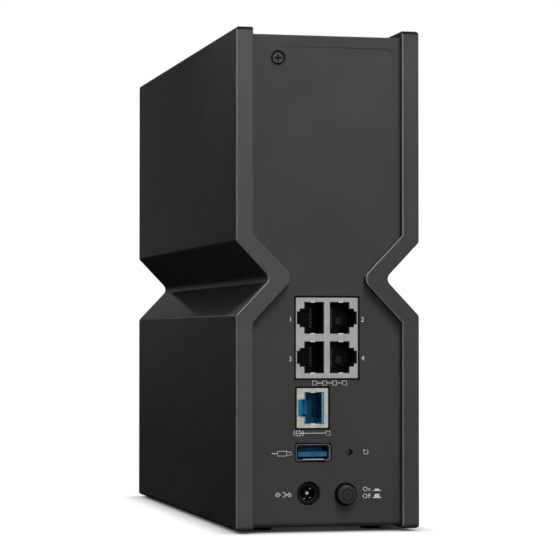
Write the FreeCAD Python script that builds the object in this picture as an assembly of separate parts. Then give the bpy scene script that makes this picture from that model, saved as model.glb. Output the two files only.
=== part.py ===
import FreeCAD, Part
import math
import os

# Tower wireless router. Millimetres, +Z up, +Y towards the socket side (rear), -Y towards the front.
# Left and right are as seen from the front, so +X is the right-hand side.
# Heights are measured from the bottom edge of the side shells; every node is lifted by foot_stand as it
# is written, so that the rubber feet rest on z = 0.

V = FreeCAD.Vector

# ---------------------------------------------------------------- housing, overall
overall_width = 75.9
overall_depth = 231.9
shell_height = 202.2
foot_stand = 1.0

# hourglass outline of the side shells, seen from the rear
fold_half_height = 14.9     # from the waist up to the upper fold, and down to the lower one
waist_cut = 14.2            # how far the waist is drawn in from the flat side
fold_radius = 2.0
waist_radius = 3.0
rim_waist_radius = 4.0      # the same corner on the inner edge of the rim
corner_radius = 1.5
lip_radius = 0.6            # inner top and bottom edges of the rim
end_round = 2.2
edge_break = 0.4

# side shell walls
skin = 2.4
rim_width = 6.95
rim_return = 2.2
rim_depth = 10.0
ledge_width = 1.5
ledge_thick = 1.6

# panels between the shells
panel_thick = 2.5
rear_recess = 3.0
front_recess = 3.0
top_recess = 2.6
base_recess = 1.0
panel_gap = 0.15
panel_top_round = 0.8
rib_thick = 1.4
rib_height = 1.8
rib_rows = 4
rib_top_gap = 14.0
tongue_x = 17.0             # tongues at the foot of the front and rear panels
tongue_width = 8.0
tongue_length = 6.0
tongue_thick = 1.6
hook_length = 12.0          # snap hooks of the top grille and the base
hook_thick = 1.2
hook_catch = 1.0
hook_spread = 0.62          # outer hooks, as a share of the half depth

# shallow recess on the rear panel that runs out to nothing at its lower left
label_recess_depth = 0.3
label_recess_side = 28.0
label_recess_below_top = 7.3
label_recess_drop = 31.0
label_recess_radius = 3.0
rear_lug_clear = 0.5

# main board and the sockets on it
board_face_x = 12.8
board_thick = 1.6
board_front_gap = 18.0
board_rear_gap = 0.3        # from the return walls of the side shells
board_base_gap = 8.0
board_top_gap = 16.0
port_gap = 0.5
socket_relief_gap = 0.8
jack_set_back = 0.2
jack_wall = 0.4
jack_fit = 0.05
jack_corner = 0.4
shield_relief = 0.3         # the case's opening is this much larger all round than the cavity

# RJ45 cavity: widths of the main slot, latch step and latch tab
rj45_height = 7.6
rj45_width = 12.3
rj45_step_width = 7.0
rj45_tab_width = 4.7
rj45_cavity_depth = 15.0
contact_count = 8
contact_pitch = 1.02
contact_thick = 0.4
contact_start = 3.0         # from the mouth of the opening to where a contact leaves its wall
contact_end = 10.5
contact_rise = 2.3
contact_tip = 0.45
contact_root = 1.4
contact_pocket = 0.8        # recess in the contact wall behind the springs' roots
contact_pocket_margin = 0.3
slot_play = 0.05

# 2 x 2 LAN jack block, standing on its side
lan_center_z = 77.2
lan_pitch = 15.9
lan_block_rise = 25.7       # away from the board
lan_block_width = 32.45
lan_block_depth = 25.4
lan_stand_off = 0.1
lan_slot_offset = 1.5       # contact wall of a slot, from the middle of the block
lan_row_lift = 0.15         # both rows sit a little above the middle
lan_latch = (1.95, 1.15)    # depths of the latch step and of the tab

wan_center_z = 48.95
wan_rise = 12.95
wan_width = 15.95
wan_depth = 21.0
wan_stand_off = 0.45
wan_wall = 1.95             # between the jack's far side and its contact wall
wan_latch = (1.35, 0.65)

usb_center_z = 31.05
usb_flange_rise = 14.45
usb_flange_width = 6.85
usb_tube_rise = 13.1
usb_tube_width = 5.75
usb_flare = 0.7
usb_depth = 15.0
usb_wall = 0.35
usb_corner = 0.9
usb_lip_corner = 1.2
usb_gap_inset = 2.0         # each end of the opening in the lower flange, from the tube's side
usb_leg = 2.0
usb_tongue_rise = 11.9
usb_tongue_thick = 1.9
usb_tongue_depth = 9.0
usb_tongue_back = 0.2
usb_tongue_drop = 0.7       # the tongue sits this far below the middle of the tube

dc_center = (7.5, 14.6)
dc_hole_radius = 4.85
dc_nose_radius = 4.15
dc_set_back = 2.0           # the nose's end, below the panel's surface
dc_bore_radius = 3.15
dc_bore_depth = 9.5
dc_pin_radius = 1.0
dc_body_width = 9.0
dc_body_depth = 13.5
dc_body_lap = 0.8
dc_pin_back = 1.0
dc_pin_root = 3.0
dc_pin_root_half = 0.8
dc_pin_bevel = 0.4

# small switch board that stands off the main board
switch_board_x = -12.2
switch_board_thick = 1.2
power_center = (-7.9, 14.1)
power_cap_radius = 3.95
power_dome = ((3.95, 0.9), (3.75, 0.4), (3.35, 0.15), (2.6, 0.0))   # radius, depth below the top
power_hole_radius = 4.7
power_proud = 2.9
power_travel = 1.8
power_flange_radius = 5.2
power_flange_thick = 1.2
power_collar = 3.0
power_socket = 2.0          # depth of the square socket in the back of the cap
power_switch_behind = 12.0  # from the panel's back to the face of the switch
power_switch_length = 11.0
stem_half = 1.5
stem_well = 6.0
reset_center = (-9.5, 30.9)
reset_hole_radius = 1.35
collar_wall = 1.0
reset_plunger_radius = 1.0
reset_travel = 0.3
reset_collar = 2.0
reset_switch_behind = 7.0
reset_well = 2.0
reset_sunk = 0.5            # the plunger's end, behind the panel's back
slack_at_stop = 0.2         # air left when a button is fully pressed
switch_board_front = 30.0   # edges of the switch board, from the panel's back
switch_board_rear = 7.5
switch_board_above = 7.0
spacer_inset = 3.2
spacer_radius = 2.4

# two push buttons on the left side shell, with their own little board
side_button_y = 84.0
side_button_heights = (52.0, 36.0)
side_button_length = 11.0
side_button_width = 5.0
side_button_gap = 0.15
side_button_travel = 0.5
side_board_stand = 8.6
side_board_thick = 1.2
side_board_half = 12.0
side_board_margin = 6.0
rail_thick = 1.6
rail_lap = 1.0
tact_height = 3.4
tact_half = 3.0
tact_well = 2.4
stub_half = 1.2

# status light on the front panel
light_center = (0.0, 30.0)
light_length = 12.0
light_width = 2.2
lens_play = 0.1
light_post_x = 11.0
light_post_half = 1.6
light_post_length = 4.0
light_board_thick = 1.0
light_board_half = 4.5
led_height = 1.1
led_half_length = 1.0
led_half_width = 0.7
led_pitch = 3.5
flange_lap = 1.2            # how far a lens or cap flange reaches past its opening
flange_thick = 1.2

# frame that carries the main board
carrier_thick = 2.8
carrier_rail = 6.0
carrier_foot_x = 8.0
carrier_front_foot = 26.0
carrier_foot_half = 4.6
carrier_socket_wall = 1.4
carrier_socket_height = 3.0
socket_clear = 50.0         # part of the board behind the sockets that the carrier leaves free

# rear panel screw
screw_shank_radius = 1.4
screw_head_radius = 2.45
screw_hole_radius = 1.7
screw_slack = 0.05
rear_screw_length = 9.0
rear_lug_depth = 12.0
rear_lug_half = 3.6
rear_screw_inset = 17.85    # from the flat side
rear_screw_below_top = 12.1
rear_screw_seat_radius = 3.1
rear_screw_seat_depth = 1.5
rear_screw_head = 1.2
rear_screw_bevel = 0.35
cross_length = 3.0
cross_width = 0.8
cross_depth = 0.7

# feet
foot_inset = 14.95
foot_end_inset = 21.0
foot_radius = 4.0

# top grille and base vents
slot_width = 2.4
slot_pitch = 6.8
slot_side_margin = 6.5
slot_end_margin = 10.0
vent_slot_length = 26.0
vent_end_margin = 22.0

# heat sinks and antennas
sink_plate = 2.4
sink_gap = 2.3
fin_height = 19.0
fin_pitch = 7.2
fin_thick = 1.2
fin_margin = 4.0
sink_margin = 6.0
sink_rear_gap = 44.0
clip_thick = 0.8
clip_length = 16.0
clip_foot = 3.2
clip_lip = 2.2
clip_inset = 14.0
pad_thick = 0.8
pad_inset = 1.0
# chips and radio cans: offset from the sink's middle along the depth, share of its height, half sizes
chip_places = [(0.0, 0.38, 11.0, 11.0), (24.0, 0.42, 6.0, 5.0), (24.0, 0.32, 6.0, 5.0)]
can_places = [(-36.0, 0.25, 17.0, 14.0), (-34.0, 0.68, 18.0, 18.0), (18.0, 0.76, 20.0, 15.0)]
spreader_thick = 1.5
spreader_clear = 6.0
spreader_inset = 14.0
spreader_pad_inset = 8.0

# parts between the sockets and the heat sink
power_parts_behind = 37.0   # their middle, from the rear panel's back
capacitor_radius = 4.0
capacitor_height = 12.0
capacitor_heights = (16.0, 26.0)
inductor_half = 4.0
inductor_height = 5.0
inductor_heights = (36.0, 46.0)
transformer_half = 4.4
transformer_height = 5.5
transformer_low = 56.0
transformer_pitch = 9.5
transformer_count = 5

# antennas, their brackets and leads
antenna_thick = 0.8
antenna_width = 11.0
antenna_low_x = -2.0
antenna_rows_each = 3
front_antenna_gap = 13.0     # between neighbours, and at both ends of a row
rear_antenna_gap = 5.2
bracket_depth = 4.0
rear_bracket_inset = 9.0
plug_half = 1.3
plug_height = 1.2
bracket_rail = 3.0
lead_start = 4.0
lead_side = 4.0
lead_radius = 0.6
lead_bend = 3.0

# ---------------------------------------------------------------- derived places
half_width = overall_width / 2
half_depth = overall_depth / 2
waist_z = shell_height / 2
slope = math.atan2(waist_cut, fold_half_height)

rear_face = half_depth - rear_recess
rear_back = rear_face - panel_thick
front_face = -(half_depth - front_recess)
front_back = front_face + panel_thick
top_face = shell_height - top_recess
top_under = top_face - panel_thick
base_under = base_recess
base_top = base_under + panel_thick

board_back_x = board_face_x + board_thick
board_front = front_back + board_front_gap
board_rear = half_depth - skin / 2 - rim_depth - board_rear_gap
board_low = board_base_gap
board_high = shell_height - board_top_gap

jack_face = rear_face - jack_set_back
dc_face = rear_face - dc_set_back
panel_side = half_width - rim_width - panel_gap
rear_screw_x = half_width - rear_screw_inset
rear_screw_z = shell_height - rear_screw_below_top
side_wall_x = -half_width + skin
side_board_x = side_wall_x + side_board_stand

cap_face = rear_face + power_proud
cap_back = rear_back - power_collar - panel_gap - power_flange_thick
power_switch_rear = rear_back - power_switch_behind
reset_switch_front = rear_back - reset_switch_behind

carrier_x = board_face_x - carrier_thick
sink_face = board_face_x - sink_gap
sink_front = board_front + carrier_rail + sink_margin
sink_rear = board_rear - sink_rear_gap
sink_low = board_low + carrier_rail + sink_margin
sink_high = board_high - carrier_rail - sink_margin
chip_height = sink_gap - pad_thick

foot_x = half_width - foot_inset
foot_y = half_depth - foot_end_inset

tiny = 0.01
past = 1.0                  # how far a cutting body runs past the surface it cuts
made = []


# ---------------------------------------------------------------- drawing helpers
def box(x0, x1, y0, y1, z0, z1):
    return Part.makeBox(x1 - x0, y1 - y0, z1 - z0, V(x0, y0, z0))


def rod(axis, radius, start, end, a, b):
    """Cylinder along one axis; a and b are its place on the two other axes, in X, Y, Z order."""
    if axis == "x":
        return Part.makeCylinder(radius, end - start, V(start, a, b), V(1, 0, 0))
    if axis == "y":
        return Part.makeCylinder(radius, end - start, V(a, start, b), V(0, 1, 0))
    return Part.makeCylinder(radius, end - start, V(a, b, start), V(0, 0, 1))


def outline_wire(points, place):
    """Closed wire through (u, v) or (u, v, radius) points; place(u, v) puts a point in space."""
    count = len(points)
    legs = []
    for i, point in enumerate(points):
        u, v = point[0], point[1]
        radius = point[2] if len(point) > 2 else 0.0
        before, after = points[i - 1], points[(i + 1) % count]
        a = (before[0] - u, before[1] - v)
        b = (after[0] - u, after[1] - v)
        la, lb = math.hypot(*a), math.hypot(*b)
        a = (a[0] / la, a[1] / la)
        b = (b[0] / lb, b[1] / lb)
        half = math.acos(max(-1.0, min(1.0, a[0] * b[0] + a[1] * b[1]))) / 2
        if radius <= 0 or half > math.pi / 2 - 1e-6:
            legs.append(((u, v), None, (u, v)))
            continue
        reach = radius / math.tan(half)
        bisector = (a[0] + b[0], a[1] + b[1])
        length = math.hypot(*bisector)
        sag = radius / math.sin(half) - radius
        middle = (u + bisector[0] / length * sag, v + bisector[1] / length * sag)
        entry = (u + a[0] * reach, v + a[1] * reach)
        leave = (u + b[0] * reach, v + b[1] * reach)
        legs.append((entry, middle, leave))
    edges = []
    for i, (entry, middle, leave) in enumerate(legs):
        if middle:
            edges.append(Part.Arc(place(*entry), place(*middle), place(*leave)).toShape())
        following = legs[(i + 1) % count][0]
        if math.hypot(following[0] - leave[0], following[1] - leave[1]) > 1e-6:
            edges.append(Part.LineSegment(place(*leave), place(*following)).toShape())
    return Part.Wire(edges)


def prism(axis, points, start, end):
    """Solid between two planes across an axis; points are (u, v[, radius]) on the other two axes."""
    place = {
        "x": lambda u, v: V(start, u, v),
        "y": lambda u, v: V(u, start, v),
        "z": lambda u, v: V(u, v, start),
    }[axis]
    way = {"x": V(1, 0, 0), "y": V(0, 1, 0), "z": V(0, 0, 1)}[axis]
    return Part.Face(outline_wire(points, place)).extrude(way * (end - start))


def rectangle(u0, u1, v0, v1, radius=0.0):
    return [(u0, v0, radius), (u1, v0, radius), (u1, v1, radius), (u0, v1, radius)]


def pill(axis, center, length, width, start, end):
    """Slot shape with round ends, longest along the first of the other two axes."""
    u, v = center
    radius = width / 2
    run = length / 2 - radius
    bar = {
        "x": lambda: box(start, end, u - run, u + run, v - radius, v + radius),
        "y": lambda: box(u - run, u + run, start, end, v - radius, v + radius),
        "z": lambda: box(u - run, u + run, v - radius, v + radius, start, end),
    }[axis]()
    ends = [rod(axis, radius, start, end, u + side * run, v) for side in (-1, 1)]
    return bar.fuse(ends).removeSplitter()


def hexagon(radius, y, z, x0, x1):
    """Six-sided bar along X."""
    turns = [turn * math.pi / 3 for turn in range(6)]
    return prism("x", [(y + radius * math.cos(turn), z + radius * math.sin(turn)) for turn in turns], x0, x1)


def joined(shapes):
    shapes = list(shapes)
    if len(shapes) == 1:
        return shapes[0]
    return shapes[0].fuse(shapes[1:]).removeSplitter()


def mirror_x(shape):
    return shape.mirror(V(0, 0, 0), V(1, 0, 0))


def mirror_y(shape):
    return shape.mirror(V(0, 0, 0), V(0, 1, 0))


def save(name, solids):
    """Lift a node onto its feet and write it; a list is a group of separate solids."""
    parts = solids if isinstance(solids, list) else [solids]
    shape = parts[0] if len(parts) == 1 else Part.makeCompound(parts)
    shape = shape.copy()
    shape.translate(V(0, 0, foot_stand))
    shape.exportStep(os.path.join("parts", name + ".step"))
    made.append((name, shape))


# ---------------------------------------------------------------- hourglass outline
def edge_line(inset, low, high):
    """Right-hand outline from bottom to top, the given distance inside the outer skin."""
    fold_rise = fold_half_height + inset * math.tan(slope / 2)
    flat_x = half_width - inset
    waist_x = half_width - waist_cut - inset / math.cos(slope)
    at_fold = max(fold_radius - inset, 0.0)
    at_waist = waist_radius + (rim_waist_radius - waist_radius) * inset / rim_width
    return [
        (flat_x, low),
        (flat_x, waist_z - fold_rise, at_fold),
        (waist_x, waist_z, at_waist),
        (flat_x, waist_z + fold_rise, at_fold),
        (flat_x, high),
    ]


def band(outer, inner, low, high, corner=0.0, lip=0.0):
    """Closed outline between two insets of the right-hand side."""
    right = edge_line(outer, low, high)
    left = edge_line(inner, low, high)
    if corner:
        right[0] = (right[0][0], low, corner)
        right[-1] = (right[-1][0], high, corner)
        left[0] = (left[0][0], low, lip)
        left[-1] = (left[-1][0], high, lip)
    return right + left[::-1]


def hourglass(inset, low, high):
    right = edge_line(inset, low, high)
    left = [(-point[0],) + tuple(point[1:]) for point in right]
    return right + left[::-1]


def frame_block(rear_in, top_in, base_in, wall_rear, wall_top, wall_base):
    """Ring in the side view: from the given insets off the shell's box, so many millimetres wide."""
    y1 = half_depth - rear_in
    z0, z1 = base_in, shell_height - top_in
    outer = box(0, half_width, -y1, y1, z0, z1)
    inner = box(-1, half_width + 1, -y1 + wall_rear, y1 - wall_rear, z0 + wall_base, z1 - wall_top)
    return outer.cut(inner)


# ---------------------------------------------------------------- side shells
def socket_relief():
    """Room kept round the socket block where the shells' inner ledges would pass it."""
    clear = socket_relief_gap
    x0, _, z0, z1 = lan_box(clear)
    return box(x0, board_back_x + clear, jack_face - lan_block_depth - clear, jack_face, z0, z1)


def eased_blank():
    """Bar of the shell's outline, its front and rear edges eased by a small flat."""
    sections = [(half_depth - edge_break, 0.0), (half_depth, edge_break)]
    wires = []
    for y, inset in sections:
        outline = band(inset, rim_width - inset, inset, shell_height - inset, corner_radius, lip_radius)
        wires.append(outline_wire(outline, lambda u, v, y=y: V(u, y, v)))
    cap = Part.makeLoft(wires, True, True)
    middle = prism("y", band(0, rim_width, 0, shell_height, corner_radius, lip_radius),
                   -half_depth + edge_break, half_depth - edge_break)
    return middle.fuse([cap, mirror_y(cap)]).removeSplitter()


def side_shell():
    rounded_side = prism("x", rectangle(-half_depth, half_depth, 0, shell_height, end_round), 0, half_width)
    shell = eased_blank().common(rounded_side)
    hollow = prism("y", band(skin, rim_width + past, skin, shell_height - skin),
                   -half_depth + skin, half_depth - skin)
    shell = shell.cut(hollow)
    reach = rim_depth
    turned = prism("y", band(rim_width - rim_return, rim_width, 0, shell_height), -half_depth, half_depth)
    returns = turned.common(frame_block(skin / 2, skin / 2, skin / 2, reach, reach, reach))
    lip = prism("y", band(rim_width - rim_return / 2, rim_width + ledge_width, 0, shell_height),
                -half_depth, half_depth)
    ledge = lip.common(frame_block(
        rear_recess + panel_thick, top_recess + panel_thick, base_recess + panel_thick,
        ledge_thick, ledge_thick, ledge_thick))
    return shell.fuse([returns, ledge]).cut(socket_relief()).removeSplitter()


def rear_lug():
    """Lug on the right shell that the one rear screw pulls the rear panel against."""
    return box(rear_screw_x - rear_lug_half, half_width - skin / 2, rear_back - rear_lug_depth, rear_back,
               rear_screw_z - rear_lug_half, rear_screw_z + rear_lug_half)


def right_side_shell():
    hole = rod("y", screw_shank_radius + screw_slack, rear_back - rear_lug_depth, rear_back,
               rear_screw_x, rear_screw_z)
    return side_shell().fuse(rear_lug()).cut(hole).removeSplitter()


def left_side_shell():
    length, width = side_button_length + 2 * side_button_gap, side_button_width + 2 * side_button_gap
    holes = [pill("x", (side_button_y, z), length, width, -half_width - past, side_wall_x + past)
             for z in side_button_heights]
    return mirror_x(side_shell()).cut(holes).fuse(side_board_rails()).removeSplitter()


def side_board_edges():
    """Low and high edge of the button board."""
    return min(side_button_heights) - side_board_margin, max(side_button_heights) + side_board_margin


def side_board_rails():
    """Two grooved rails on the inside of the left shell that the button board slides into."""
    low, high = side_board_edges()
    x0, x1 = -half_width + skin / 2, side_board_x + side_board_thick + rail_thick
    y0, y1 = side_button_y - side_board_half, side_button_y + side_board_half
    rails = [box(x0, x1, y0, y1, low - rail_thick, low + rail_lap),
             box(x0, x1, y0, y1, high - rail_lap, high + rail_thick)]
    return [rail.cut(side_button_board()) for rail in rails]


# ---------------------------------------------------------------- front and rear panels
def level_edges(solid, y, z):
    """Straight edges of a solid that run along X at the given place."""
    found = []
    for edge in solid.Edges:
        bound = edge.BoundBox
        level = bound.YLength < tiny and bound.ZLength < tiny
        if level and abs(bound.YMin - y) < tiny and abs(bound.ZMin - z) < tiny:
            found.append(edge)
    return found


def panel_blank(outer_face, inner_face):
    """Hourglass panel between the shell rims, rounded where it meets the top and the underside."""
    y0, y1 = min(outer_face, inner_face), max(outer_face, inner_face)
    panel = prism("y", hourglass(rim_width + panel_gap, base_under, top_face), y0, y1)
    panel = panel.makeFillet(panel_top_round, level_edges(panel, outer_face, top_face))
    return panel.makeFillet(end_round, level_edges(panel, outer_face, base_under))


def back_ribs(inner_face, way):
    """Stiffening ribs on the inner side of a panel, above the waist."""
    low = waist_z + fold_half_height + rim_width
    high = top_under - rib_top_gap
    y0, y1 = sorted((inner_face, inner_face + way * rib_height))
    across = half_width - rim_width - 2 * rim_return
    step = (high - low) / (rib_rows - 1)
    ribs = [box(-across, across, y0, y1, low + i * step, low + i * step + rib_thick) for i in range(rib_rows)]
    ribs += [box(x - rib_thick / 2, x + rib_thick / 2, y0, y1, low, high) for x in (-across / 2, across / 2)]
    return joined(ribs)


def label_recess():
    """Rounded corner recess whose floor slopes out to the surface towards the lower left."""
    top = shell_height - label_recess_below_top
    low = top - label_recess_drop
    left, right = -label_recess_side, label_recess_side
    deep = V(left, rear_face - label_recess_depth, top)
    corner, far, foot = V(left, rear_face, top), V(right, rear_face, top), V(left, rear_face, low)
    sides = [(deep, far, foot), (corner, far, deep), (corner, deep, foot), (corner, foot, far)]
    wedge = Part.Solid(Part.Shell([Part.Face(Part.makePolygon([a, b, c, a])) for a, b, c in sides]))
    if wedge.Volume < 0:
        wedge.reverse()
    outline = [(left, low), (right, low), (right, top), (left, top, label_recess_radius)]
    return wedge.common(prism("y", outline, rear_face - past, rear_face + past))


def lan_box(grow=0.0):
    x1 = board_face_x - lan_stand_off
    return (x1 - lan_block_rise - grow, x1 + grow,
            lan_center_z - lan_block_width / 2 - grow, lan_center_z + lan_block_width / 2 + grow)


def wan_box(grow=0.0):
    x1 = board_face_x - wan_stand_off
    return (x1 - wan_rise - grow, x1 + grow,
            wan_center_z - wan_width / 2 - grow, wan_center_z + wan_width / 2 + grow)


def usb_box(rise, width, grow=0.0):
    middle = board_face_x - usb_flange_rise / 2
    return (middle - rise / 2 - grow, middle + rise / 2 + grow,
            usb_center_z - width / 2 - grow, usb_center_z + width / 2 + grow)


def square_collar(center, half, length):
    x, z = center
    return box(x - half, x + half, rear_back - length, rear_back, z - half, z + half)


def rear_panel():
    panel = panel_blank(rear_face, rear_back)
    power_tube = square_collar(power_center, power_hole_radius + collar_wall, power_collar)
    reset_tube = square_collar(reset_center, reset_hole_radius + collar_wall, reset_collar)
    panel = panel.fuse([back_ribs(rear_back, -1), power_tube, reset_tube] + base_tongues(rear_back))
    start, end = rear_back - 2 * power_collar, rear_face + past
    usb_hole = rectangle(*usb_box(usb_flange_rise, usb_flange_width, port_gap), usb_corner + port_gap)
    cuts = [
        prism("y", rectangle(*lan_box(port_gap)), start, end),
        prism("y", rectangle(*wan_box(port_gap)), start, end),
        prism("y", usb_hole, start, end),
        rod("y", dc_hole_radius, start, end, *dc_center),
        rod("y", power_hole_radius, start, end, *power_center),
        rod("y", reset_hole_radius, start, end, *reset_center),
        rod("y", screw_hole_radius, start, end, rear_screw_x, rear_screw_z),
        rod("y", rear_screw_seat_radius, rear_face - rear_screw_seat_depth, end, rear_screw_x, rear_screw_z),
        label_recess(),
    ]
    lug_room = rear_lug_half + rear_lug_clear
    cuts.append(box(rear_screw_x - lug_room, half_width, start, rear_back,
                    rear_screw_z - lug_room, rear_screw_z + lug_room))
    return panel.cut(cuts).removeSplitter()


def base_tongues(inner_face):
    """Two tongues at the foot of a panel that lie on the base."""
    way = -1 if inner_face > 0 else 1
    y0, y1 = sorted((inner_face, inner_face + way * tongue_length))
    return [box(x - tongue_width / 2, x + tongue_width / 2, y0, y1, base_top, base_top + tongue_thick)
            for x in (-tongue_x, tongue_x)]


def front_panel():
    x, z = light_center
    half = light_post_half
    window = pill("y", light_center, light_length, light_width, front_face - past, front_back + past)
    posts = [box(x + side - half, x + side + half, front_back, front_back + light_post_length,
                 z - half, z + half) for side in (-light_post_x, light_post_x)]
    panel = panel_blank(front_face, front_back)
    panel = panel.fuse([back_ribs(front_back, 1)] + base_tongues(front_back) + posts)
    return panel.cut(window).removeSplitter()


def status_light_lens():
    """Clear lens: a pill in the window with a flange behind it."""
    x, z = light_center
    reach_x, reach_z = light_length / 2 + flange_lap, light_width / 2 + flange_lap
    lens = pill("y", light_center, light_length - lens_play, light_width - lens_play, front_face, front_back)
    flange = box(x - reach_x, x + reach_x, front_back, front_back + flange_thick, z - reach_z, z + reach_z)
    return lens.fuse(flange).removeSplitter()


def light_board():
    y0 = front_back + light_post_length
    x, z = light_center
    reach = light_post_x + 2 * light_post_half
    return box(x - reach, x + reach, y0, y0 + light_board_thick, z - light_board_half, z + light_board_half)


def light_leds():
    y1 = front_back + light_post_length
    x, z = light_center
    return [box(x + side - led_half_length, x + side + led_half_length, y1 - led_height, y1,
                z - led_half_width, z + led_half_width) for side in (-led_pitch, 0.0, led_pitch)]


# ---------------------------------------------------------------- top grille and base
def slot_rows(first, last, pitch):
    """Evenly spaced rows between two limits, centred."""
    count = int((last - first) / pitch)
    start = (first + last - count * pitch) / 2
    return [start + i * pitch for i in range(count + 1)]


def panel_plate(low, high):
    return box(-panel_side, panel_side, front_back + panel_gap, rear_back - panel_gap, low, high)


def slots(rows, half_length, low, high):
    half = slot_width / 2
    return [box(-half_length, half_length, y - half, y + half, low - past, high + past) for y in rows]


def top_grille():
    rows = slot_rows(front_back + slot_end_margin, rear_back - slot_end_margin, slot_pitch)
    plate = panel_plate(top_under, top_face)
    plate = plate.cut(slots(rows, panel_side - slot_side_margin, top_under, top_face))
    stops = [box(carrier_x, board_face_x, y - carrier_foot_half, y + carrier_foot_half,
                 top_under - rib_height, top_under) for y in carrier_foot_rows()]
    return plate.fuse(stops + panel_hooks(top_under, -1)).removeSplitter()


def foot_places():
    return [(x, y) for x in (-foot_x, foot_x) for y in (-foot_y, foot_y)]


def bottom_base():
    """Floor plate with vents, sockets for the carrier and hooks for the shells."""
    half, wall = carrier_foot_half, carrier_foot_half + carrier_socket_wall
    cups = []
    for y in carrier_foot_rows():
        cup = box(carrier_foot_x - wall, board_face_x + carrier_socket_wall, y - wall, y + wall,
                  base_top, base_top + carrier_socket_height)
        cups.append(cup.cut(box(carrier_foot_x - half, board_face_x, y - half, y + half,
                                base_top, base_top + carrier_socket_height)))
    plate = panel_plate(base_under, base_top).fuse(cups + panel_hooks(base_top, 1))
    clear = carrier_foot_half + 2 * slot_width
    rows = [y for y in slot_rows(-foot_y + vent_end_margin, foot_y - vent_end_margin, slot_pitch)
            if min(abs(y - row) for row in carrier_foot_rows()) > clear]
    return plate.cut(slots(rows, vent_slot_length / 2, base_under, base_top)).removeSplitter()


def panel_hooks(face_z, way):
    """Snap hooks that rise from a panel's inner face and catch over the shells' ledges."""
    wall_x = half_width - rim_width - ledge_width - panel_gap
    top = face_z + way * (ledge_thick + hook_catch)
    catch = face_z + way * (ledge_thick + slot_play)
    points = [(wall_x, face_z), (wall_x, catch), (wall_x + hook_catch, catch), (wall_x, top),
              (wall_x - hook_thick, top), (wall_x - hook_thick, face_z)]
    hooks = []
    for y in (-hook_spread * half_depth, 0.0, hook_spread * half_depth):
        hook = prism("y", points, y - hook_length / 2, y + hook_length / 2)
        hooks += [hook, mirror_x(hook)]
    return hooks


def rubber_feet():
    """Round feet stuck to the underside of the base."""
    return [rod("z", foot_radius, -foot_stand, base_under, x, y) for x, y in foot_places()]


# ---------------------------------------------------------------- rear panel screw
def end_edges(solid, y):
    """Edges of a solid that lie in one upright plane across the depth."""
    return [edge for edge in solid.Edges
            if abs(edge.BoundBox.YMin - y) < tiny and edge.BoundBox.YLength < tiny]


def rear_panel_screw():
    """Pan-head screw with a cross recess, its head below the panel's surface."""
    seat = rear_face - rear_screw_seat_depth
    top = seat + rear_screw_head
    x, z = rear_screw_x, rear_screw_z
    shank = rod("y", screw_shank_radius, seat - rear_screw_length, seat, x, z)
    cap = rod("y", screw_head_radius, seat, top, x, z)
    cap = cap.makeChamfer(rear_screw_bevel, end_edges(cap, top))
    long, short, deep = cross_length / 2, cross_width / 2, top - cross_depth
    bars = [box(x - long, x + long, deep, top + past, z - short, z + short),
            box(x - short, x + short, deep, top + past, z - long, z + long)]
    return shank.fuse(cap).cut(bars)


# ---------------------------------------------------------------- board carrier and main board
def carrier_foot_rows():
    return [board_front + carrier_front_foot, board_rear - socket_clear]


def board_carrier():
    """Open C-shaped frame on the component side of the board, its feet in sockets on the base."""
    low, high = board_low, board_high
    rails = [
        box(carrier_x, board_face_x, board_front, board_rear - socket_clear + 2 * carrier_foot_half,
            low, low + carrier_rail),
        box(carrier_x, board_face_x, board_front, board_rear, high - carrier_rail, high),
        box(carrier_x, board_face_x, board_front, board_front + carrier_rail, low, high),
    ]
    for y in carrier_foot_rows():
        rails.append(box(carrier_foot_x - carrier_foot_half, board_face_x, y - carrier_foot_half,
                         y + carrier_foot_half, base_top, low + carrier_rail / 2))
        rails.append(box(carrier_x, board_face_x, y - carrier_foot_half, y + carrier_foot_half,
                         high, top_under - rib_height))
    return joined(rails)


def main_board():
    return box(board_face_x, board_back_x, board_front, board_rear, board_low, board_high)


# ---------------------------------------------------------------- sockets
def rj45_slot(contact_x, way, center_z, latch, start, end, grow=0.0):
    """Keyed plug opening: contact_x is its contact wall, way (+1 or -1) the side its latch faces."""
    def along(distance):
        return contact_x + way * distance

    main = rj45_width / 2 + grow
    step = rj45_step_width / 2 + grow
    tab = rj45_tab_width / 2 + grow
    first = rj45_height + grow
    second = first + latch[0]
    third = second + latch[1]
    points = [
        (along(-grow), center_z - main), (along(first), center_z - main), (along(first), center_z - step),
        (along(second), center_z - step), (along(second), center_z - tab), (along(third), center_z - tab),
        (along(third), center_z + tab), (along(second), center_z + tab), (along(second), center_z + step),
        (along(first), center_z + step), (along(first), center_z + main), (along(-grow), center_z + main),
    ]
    return prism("y", points, start, end)


def rj45_contacts(contact_x, way, center_z):
    """Eight spring contacts that rise from the contact wall towards the back of the slot."""
    start = jack_face - contact_start
    end = jack_face - contact_end
    strips = []
    for i in range(contact_count):
        z = center_z + (i - (contact_count - 1) / 2) * contact_pitch
        points = [(contact_x, start), (contact_x + way * contact_rise, end),
                  (contact_x + way * (contact_rise - contact_tip), end), (contact_x, start - contact_root)]
        strips.append(prism("z", points, z - contact_thick / 2, z + contact_thick / 2))
    return strips


def lan_slots():
    x0, x1, _, _ = lan_box()
    middle = (x0 + x1) / 2
    center = lan_center_z + lan_row_lift
    rows = (center + lan_pitch / 2, center - lan_pitch / 2)
    return [(middle + way * lan_slot_offset, way, z, lan_latch) for z in rows for way in (1, -1)]


def wan_slots():
    x0, _, _, _ = wan_box()
    return [(x0 + wan_wall, 1, wan_center_z, wan_latch)]


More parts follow.
